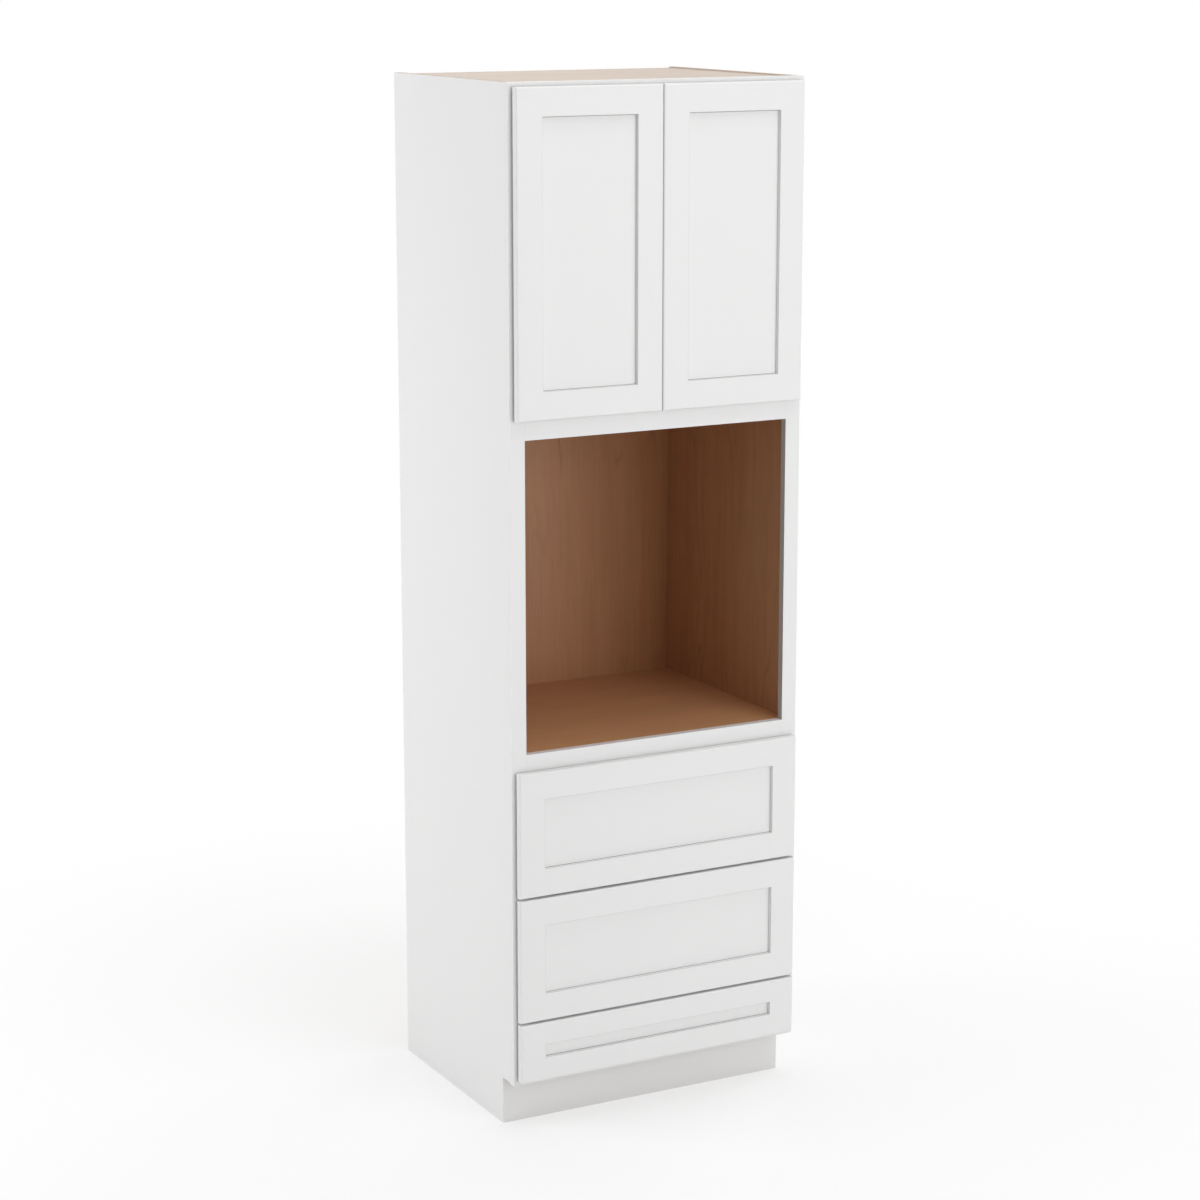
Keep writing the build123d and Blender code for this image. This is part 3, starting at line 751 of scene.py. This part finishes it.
def screw_heads(name, body, spots, facing, radius, height, material):
    """Round screw heads with a cross recess, one at each spot. Over a grid of ring and turn, the
    height is a low dome, the root of one minus the fourth power of the reach, less a cross whose
    arms are a quarter of the radius wide. A cone below the rim closes each head. facing is the
    axis, x or y, with its sign, along which the heads look."""
    rings = bpy.context.scene.cabinet_screws.rings
    turns = 2 * rings
    reach, turn = np.meshgrid(
        np.linspace(0.0, 1.0, rings + 1)[1:], np.arange(turns) * 2 * np.pi / turns, indexing="ij"
    )
    along, over = reach * np.cos(turn), reach * np.sin(turn)
    dome = np.sqrt(np.clip(1.0 - reach**4, 0.0, 1.0))
    arm = np.minimum(np.abs(along), np.abs(over))
    cross = np.clip((CROSS_HALF_WIDTH - arm) / CROSS_WALL, 0.0, 1.0)
    cross = cross * np.clip((CROSS_REACH - reach) / CROSS_END, 0.0, 1.0)
    rise = dome - CROSS_DEPTH * cross
    head = np.stack(
        [along.ravel() * radius, over.ravel() * radius, rise.ravel() * height], axis=1
    )
    pole = (1.0 - CROSS_DEPTH) * height
    head = np.vstack([head, [[0.0, 0.0, pole], [0.0, 0.0, -pole]]])
    axis, sign = "xy".index(facing[-1]), -1.0 if facing[0] == "-" else 1.0
    turned = np.zeros_like(head)
    turned[:, axis] = sign * head[:, 2]
    turned[:, 1 - axis] = (-1.0 if axis else 1.0) * sign * head[:, 0]
    turned[:, 2] = head[:, 1]
    faces = ring_faces(rings, turns, len(spots))
    new_piece(name, body, copies(turned, spots), faces, material)


def staple_crowns(name, uprights, levels, length, width, rise, material):
    """Crowns of the staples in the back, half sunk in it. Over a grid of length and turn, each is a
    bar of elliptic section whose size falls to nothing at both ends as the root of one minus the
    eighth power of the way from its middle. uprights are the spots of crowns that stand, and levels
    those of crowns that lie."""
    way, turn = np.meshgrid(
        np.linspace(-1.0, 1.0, STAPLE_RINGS + 2)[1:-1],
        np.arange(STAPLE_TURNS) * 2 * np.pi / STAPLE_TURNS,
        indexing="ij",
    )
    size = np.sqrt(1.0 - way**8)
    along = way * length / 2
    out = size * np.sin(turn) * rise
    over = size * np.cos(turn) * width / 2
    bar = np.stack([along.ravel(), out.ravel(), over.ravel()], axis=1)
    bar = np.vstack([bar, [[-length / 2, 0.0, 0.0], [length / 2, 0.0, 0.0]]])
    upright = np.stack([-bar[:, 2], bar[:, 1], bar[:, 0]], axis=1)
    corners = np.vstack([copies(bar, levels), copies(upright, uprights)])
    faces = ring_faces(STAPLE_RINGS, STAPLE_TURNS, len(levels) + len(uprights))
    new_piece(name, "root", corners, faces, material)


# Operators


class CABINET_OT_paint_frame(bpy.types.Operator):
    """Lacquer the face frame and the toe board"""

    bl_idname = "cabinet.paint_frame"
    bl_label = "Face Frame and Toe Board"

    def execute(self, context):
        settings = context.scene.cabinet_lacquer
        joint = abs(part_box("left_stile")[1].x)
        stile_line = PaintLine(settings.hairline * 1.2, FRAME_JOINT_DEPTH, distances=(joint,))
        rail_line = PaintLine(settings.hairline, JOINT_DEPTH, distances=(joint,))
        give(lacquer("lacquer_frame_stile", "z", stile_line), "left_stile", "right_stile")
        give(
            lacquer("lacquer_frame_rail", "x", rail_line),
            "top_rail", "cupboard_rail", "oven_rail", "drawer_rails", "bottom_rail",
        )
        give(lacquer("lacquer_toe_board", "x"), "toe_board")
        return {"FINISHED"}


class CABINET_OT_paint_doors(bpy.types.Operator):
    """Lacquer the stiles, rails and panels of both doors"""

    bl_idname = "cabinet.paint_doors"
    bl_label = "Doors"

    def execute(self, context):
        low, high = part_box("right_door_stiles")
        rail = context.scene.cabinet_lacquer.rail
        paints = shaker_paint("door", (low.x, high.x), (low.z, high.z), rail, "z")
        for paint, part in zip(paints, ("stiles", "rails", "panel")):
            give(paint, *(f"{side}_door_{part}" for side in SIDES))
        return {"FINISHED"}


class CABINET_OT_paint_drawer_fronts(bpy.types.Operator):
    """Lacquer the stiles, rails and panels of the drawer fronts"""

    bl_idname = "cabinet.paint_drawer_fronts"
    bl_label = "Drawer Fronts"

    def execute(self, context):
        settings = context.scene.cabinet_lacquer
        for drawer, rail in zip(DRAWERS, (settings.low_rail, settings.rail, settings.rail)):
            low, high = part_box(f"{drawer}_front_stiles")
            paints = shaker_paint(drawer, (low.x, high.x), (low.z, high.z), rail, "x")
            for paint, part in zip(paints, ("stiles", "rails", "panel")):
                give(paint, f"{drawer}_front_{part}")
        return {"FINISHED"}


class CABINET_OT_finish_boards(bpy.types.Operator):
    """Finish the side panels, the veneered boards inside and the bare plywood top"""

    bl_idname = "cabinet.finish_boards"
    bl_label = "Case Boards"

    def execute(self, context):
        give(side_board("side_board"), "left_side_panel", "right_side_panel")
        # Painted shade: the back's veneer is darker and redder, for the shade deep in the oven bay.
        back = veneer("veneer_back", "z", light_and_shade_tone=(0.87, 0.73, 0.565), raw_side="y")
        give(back, "back_panel")
        # Painted light: the level boards are lighter, for the light that falls on them.
        level = veneer("veneer_level", "x", figure=0.4, light_and_shade_tone=(1.14, 1.08, 1.02))
        give(level, "bottom_deck", "oven_deck", "cupboard_floor", "adjustable_shelf")
        give(veneer("veneer_rail", "x"), "hanging_rails")
        give(plywood("plywood_cleat", "y", "x"), "oven_deck_cleats")
        give(plywood("plywood_top", "x", "z"), "top_panel")
        give(plywood("plywood_toe_support", "x", "y"), "toe_support")
        return {"FINISHED"}


class CABINET_OT_finish_drawer_boxes(bpy.types.Operator):
    """Finish the plywood boxes of the drawers"""

    bl_idname = "cabinet.finish_drawer_boxes"
    bl_label = "Drawer Boxes"

    def execute(self, context):
        sides = plywood("plywood_box_side", "y", "x")
        ends = plywood("plywood_box_end", "x", "y")
        bottoms = plywood("plywood_box_bottom", "x", "z")
        for drawer in DRAWERS:
            give(sides, f"{drawer}_box_sides")
            give(ends, f"{drawer}_box_ends")
            give(bottoms, f"{drawer}_box_bottom")
        return {"FINISHED"}


class CABINET_OT_plate_metal(bpy.types.Operator):
    """Plate the slides, brackets, hinges, screws and shelf pins, and finish the door bumpers"""

    bl_idname = "cabinet.plate_metal"
    bl_label = "Slides, Hinges and Bumpers"

    def execute(self, context):
        slides = plated_steel("zinc_slides", "y")
        give(slides, "outer_slides", "slide_brackets")
        for drawer in DRAWERS:
            give(slides, f"{drawer}_inner_slides", f"{drawer}_middle_slides")
        nickel = plated_steel("nickel_hinges", "z", factor=1.12, rough=-0.12)
        give(nickel, "hinge_arms", "hinge_screws", "shelf_pins")
        rubber = soft_rubber("clear_bumpers")
        for side in SIDES:
            give(nickel, f"{side}_hinge_cups", f"{side}_hinge_pins")
            give(rubber, f"{side}_door_bumpers")
        return {"FINISHED"}


class CABINET_OT_front_screws(bpy.types.Operator):
    """Add the screws that hold each drawer front, inside its box"""

    bl_idname = "cabinet.front_screws"
    bl_label = "Drawer Front Screws"

    def execute(self, context):
        across = (-0.24, -0.08, 0.08, 0.24)
        bottom_in_groove = 0.0055
        height = 0.0022
        one_row_up_to = 0.06
        radius = context.scene.cabinet_screws.front_head
        steel = plated_steel("zinc_front_screws", "z", factor=0.95)
        for drawer in DRAWERS:
            low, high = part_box(f"{drawer}_box_ends")
            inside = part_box(f"{drawer}_box_bottom")[0].y + bottom_in_groove
            half = (high.z - low.z) * 0.5
            rows = (low.z + 1.25 * half,)
            if half > one_row_up_to:
                rows = (low.z + 0.45 * half, high.z - 0.45 * half)
            spots = [(x, inside, z) for x in across for z in rows]
            screw_heads(f"{drawer}_front_screws", drawer, spots, "+y", radius, height, steel)
        return {"FINISHED"}


class CABINET_OT_cup_screws(bpy.types.Operator):
    """Add the two screws in the flange of each hinge cup"""

    bl_idname = "cabinet.cup_screws"
    bl_label = "Hinge Cup Screws"

    def execute(self, context):
        near_end, far_end = 0.0055, 0.0505
        height = 0.0009
        radius = context.scene.cabinet_screws.cup_head
        steel = plated_steel("nickel_cup_screws", "z", factor=1.05, rough=-0.08)
        for side in SIDES:
            low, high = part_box(f"{side}_hinge_cups")
            middle = (low.x + high.x) / 2
            heights = [low.z + near_end, low.z + far_end, high.z - near_end, high.z - far_end]
            spots = [(middle, high.y, z) for z in heights]
            name = f"{side}_cup_screws"
            screw_heads(name, f"{side}_door", spots, "+y", radius, height, steel)
        return {"FINISHED"}


class CABINET_OT_hinge_screw_crosses(bpy.types.Operator):
    """Add the domed heads of the hinge plates' screws, and an adjusting screw between each pair"""

    bl_idname = "cabinet.hinge_screw_crosses"
    bl_label = "Hinge Plate Screws"

    def execute(self, context):
        dome_height = 0.0005
        cam_height = 0.0009
        settings = context.scene.cabinet_screws
        steel = plated_steel("nickel_plate_screws", "z", factor=1.05, rough=-0.08)
        low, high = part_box("hinge_screws")
        middle = (low.y + high.y) / 2
        radius = (high.y - low.y) / 2
        lowest, highest = low.z + radius, high.z - radius
        heights = (lowest, lowest + settings.pitch, highest - settings.pitch, highest)
        between = (lowest + settings.pitch / 2, highest - settings.pitch / 2)
        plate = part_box("right_stile")[0].x - settings.plate
        for side, sign, facing in (("left", -1.0, "+x"), ("right", 1.0, "-x")):
            heads = [(sign * (plate - settings.plate), middle, z) for z in heights]
            name = f"{side}_plate_screws"
            screw_heads(name, "root", heads, facing, 0.97 * radius, dome_height, steel)
            cams = [(sign * plate, middle, z) for z in between]
            name = f"{side}_adjusting_screws"
            screw_heads(name, "root", cams, facing, settings.arm_head, cam_height, steel)
        return {"FINISHED"}


class CABINET_OT_back_staples(bpy.types.Operator):
    """Add the staples that hold the back to the sides, the boards and the hanging rails"""

    bl_idname = "cabinet.back_staples"
    bl_label = "Back Staples"

    def execute(self, context):
        end_distance = 0.04
        rail_distance = 0.038
        reach = 0.86
        settings = context.scene.cabinet_staples
        low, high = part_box("back_panel")
        column = high.x - settings.inset
        heights = np.linspace(low.z + end_distance, high.z - end_distance, settings.upright)
        uprights = [(x, high.y, z) for x in (-column, column) for z in heights]
        rails_low, rails_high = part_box("hanging_rails")
        rows = [rails_low.z + rail_distance, rails_high.z - rail_distance]
        for board in ("bottom_deck", "cupboard_floor", "top_panel"):
            board_low, board_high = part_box(board)
            rows.append((board_low.z + board_high.z) / 2)
        across = np.linspace(-reach * column, reach * column, settings.level)
        levels = [(x, high.y, z) for z in rows for x in across]
        size = (settings.length, settings.width, settings.rise)
        steel = plated_steel("staple_wire", "z", factor=0.95)
        staple_crowns("back_staples", uprights, levels, *size, steel)
        return {"FINISHED"}


class CABINET_OT_studio(bpy.types.Operator):
    """Build the floor, the lamps, the even light from all round and the camera"""

    bl_idname = "cabinet.studio"
    bl_label = "Studio"

    def execute(self, context):
        settings = context.scene.cabinet_studio
        scene = context.scene
        scene.view_settings.view_transform = "Standard"

        half = settings.floor_size / 2
        corners = [(-half, -half, 0), (half, -half, 0), (half, half, 0), (-half, half, 0)]
        mesh = bpy.data.meshes.new("floor")
        mesh.from_pydata(corners, [], [(0, 1, 2, 3)])
        floor = bpy.data.objects.new("floor", mesh)
        scene.collection.objects.link(floor)
        mesh.materials.append(self.floor_finish())

        world = bpy.data.worlds.new("studio")
        scene.world = world
        around = Nodes(world)
        around.tree.nodes.clear()
        around.add("ShaderNodeOutputWorld")
        white = (1.0, 1.0, 1.0, 1.0)
        fill = around.add("ShaderNodeBackground", None, {"Color": white, "Strength": settings.fill})
        backdrop = around.add("ShaderNodeBackground", None, {"Color": white, "Strength": 1.0})
        mixed = around.add(
            "ShaderNodeMixShader",
            None,
            {0: around.seen(), 1: fill.outputs[0], 2: backdrop.outputs[0]},
        )
        around.end("ShaderNodeOutputWorld", mixed)

        for name, place, size in LAMPS:
            self.lamp(f"{name}_lamp", Vector(place), size, getattr(settings, f"{name}_light"))

        camera = bpy.data.objects.new("camera", bpy.data.cameras.new("camera"))
        scene.collection.objects.link(camera)
        camera.data.lens = settings.lens
        camera.data.clip_end = 200
        camera.location = CAMERA_PLACE
        camera.rotation_euler = (math.radians(90 - CAMERA_TILT), 0, math.radians(-CAMERA_TURN))
        scene.camera = camera
        return {"FINISHED"}

    def floor_finish(self):
        """A pale floor. Where it is seen it is white, and it keeps part of the shadow round the
        cabinet's foot, which fades out between 0.6 and 2.6 m from the middle."""
        finish = Finish("pale_floor")
        speck = finish.noise((3.0, 3.0, 3.0))
        pale, paler = (0.92, 0.92, 0.92, 1.0), (0.94, 0.94, 0.94, 1.0)
        finish.dress(Base_Color=finish.blend(speck, pale, paler), Roughness=0.9)
        glow = finish.add("ShaderNodeEmission", None, {"Strength": 1.0})
        across, along, _ = finish.axes(finish.place)
        away = finish.math("SQRT", across * across + along * along).ramp(0.6, 2.6)
        white = finish.seen() * (0.6 + 0.4 * away)
        mixed = finish.add(
            "ShaderNodeMixShader",
            None,
            {0: white, 1: finish.surface.outputs[0], 2: glow.outputs[0]},
        )
        finish.end("ShaderNodeOutputMaterial", mixed)
        return finish.material

    def lamp(self, name, place, size, power):
        """A square area lamp at a place, turned to the middle of the cabinet."""
        data = bpy.data.lights.new(name, "AREA")
        data.size = size
        data.energy = power
        lamp = bpy.data.objects.new(name, data)
        lamp.location = place
        lamp.rotation_euler = (Vector(AIM) - place).to_track_quat("-Z", "Y").to_euler()
        bpy.context.scene.collection.objects.link(lamp)


OPERATORS = (
    CABINET_OT_paint_frame,
    CABINET_OT_paint_doors,
    CABINET_OT_paint_drawer_fronts,
    CABINET_OT_finish_boards,
    CABINET_OT_finish_drawer_boxes,
    CABINET_OT_plate_metal,
    CABINET_OT_front_screws,
    CABINET_OT_cup_screws,
    CABINET_OT_hinge_screw_crosses,
    CABINET_OT_back_staples,
    CABINET_OT_studio,
)

SETTINGS = {
    "cabinet_lacquer": LacquerSettings,
    "cabinet_veneer": VeneerSettings,
    "cabinet_plywood": PlywoodSettings,
    "cabinet_steel": SteelSettings,
    "cabinet_screws": ScrewSettings,
    "cabinet_staples": StapleSettings,
    "cabinet_studio": StudioSettings,
}


class CABINET_PT_panel(bpy.types.Panel):
    """Lists the settings and the steps that finish the cabinet"""

    bl_idname = "CABINET_PT_panel"
    bl_label = "Oven Cabinet"
    bl_space_type = "VIEW_3D"
    bl_region_type = "UI"
    bl_category = "Oven Cabinet"

    def draw(self, context):
        for name, group in SETTINGS.items():
            box = self.layout.box()
            for key in group.__annotations__:
                box.prop(getattr(context.scene, name), key)
        for operator in OPERATORS:
            self.layout.operator(operator.bl_idname)


def register():
    for group in SETTINGS.values():
        bpy.utils.register_class(group)
    for operator in OPERATORS:
        bpy.utils.register_class(operator)
    bpy.utils.register_class(CABINET_PT_panel)
    for name, group in SETTINGS.items():
        setattr(bpy.types.Scene, name, PointerProperty(type=group))


def unregister():
    for name in SETTINGS:
        delattr(bpy.types.Scene, name)
    bpy.utils.unregister_class(CABINET_PT_panel)
    for operator in reversed(OPERATORS):
        bpy.utils.unregister_class(operator)
    for group in reversed(SETTINGS.values()):
        bpy.utils.unregister_class(group)


def main():
    register()
    bpy.ops.cabinet.paint_frame()
    bpy.ops.cabinet.paint_doors()
    bpy.ops.cabinet.paint_drawer_fronts()
    bpy.ops.cabinet.finish_boards()
    bpy.ops.cabinet.finish_drawer_boxes()
    bpy.ops.cabinet.plate_metal()
    bpy.ops.cabinet.front_screws()
    bpy.ops.cabinet.cup_screws()
    bpy.ops.cabinet.hinge_screw_crosses()
    bpy.ops.cabinet.back_staples()
    bpy.ops.cabinet.studio()


if __name__ == "__main__":
    main()
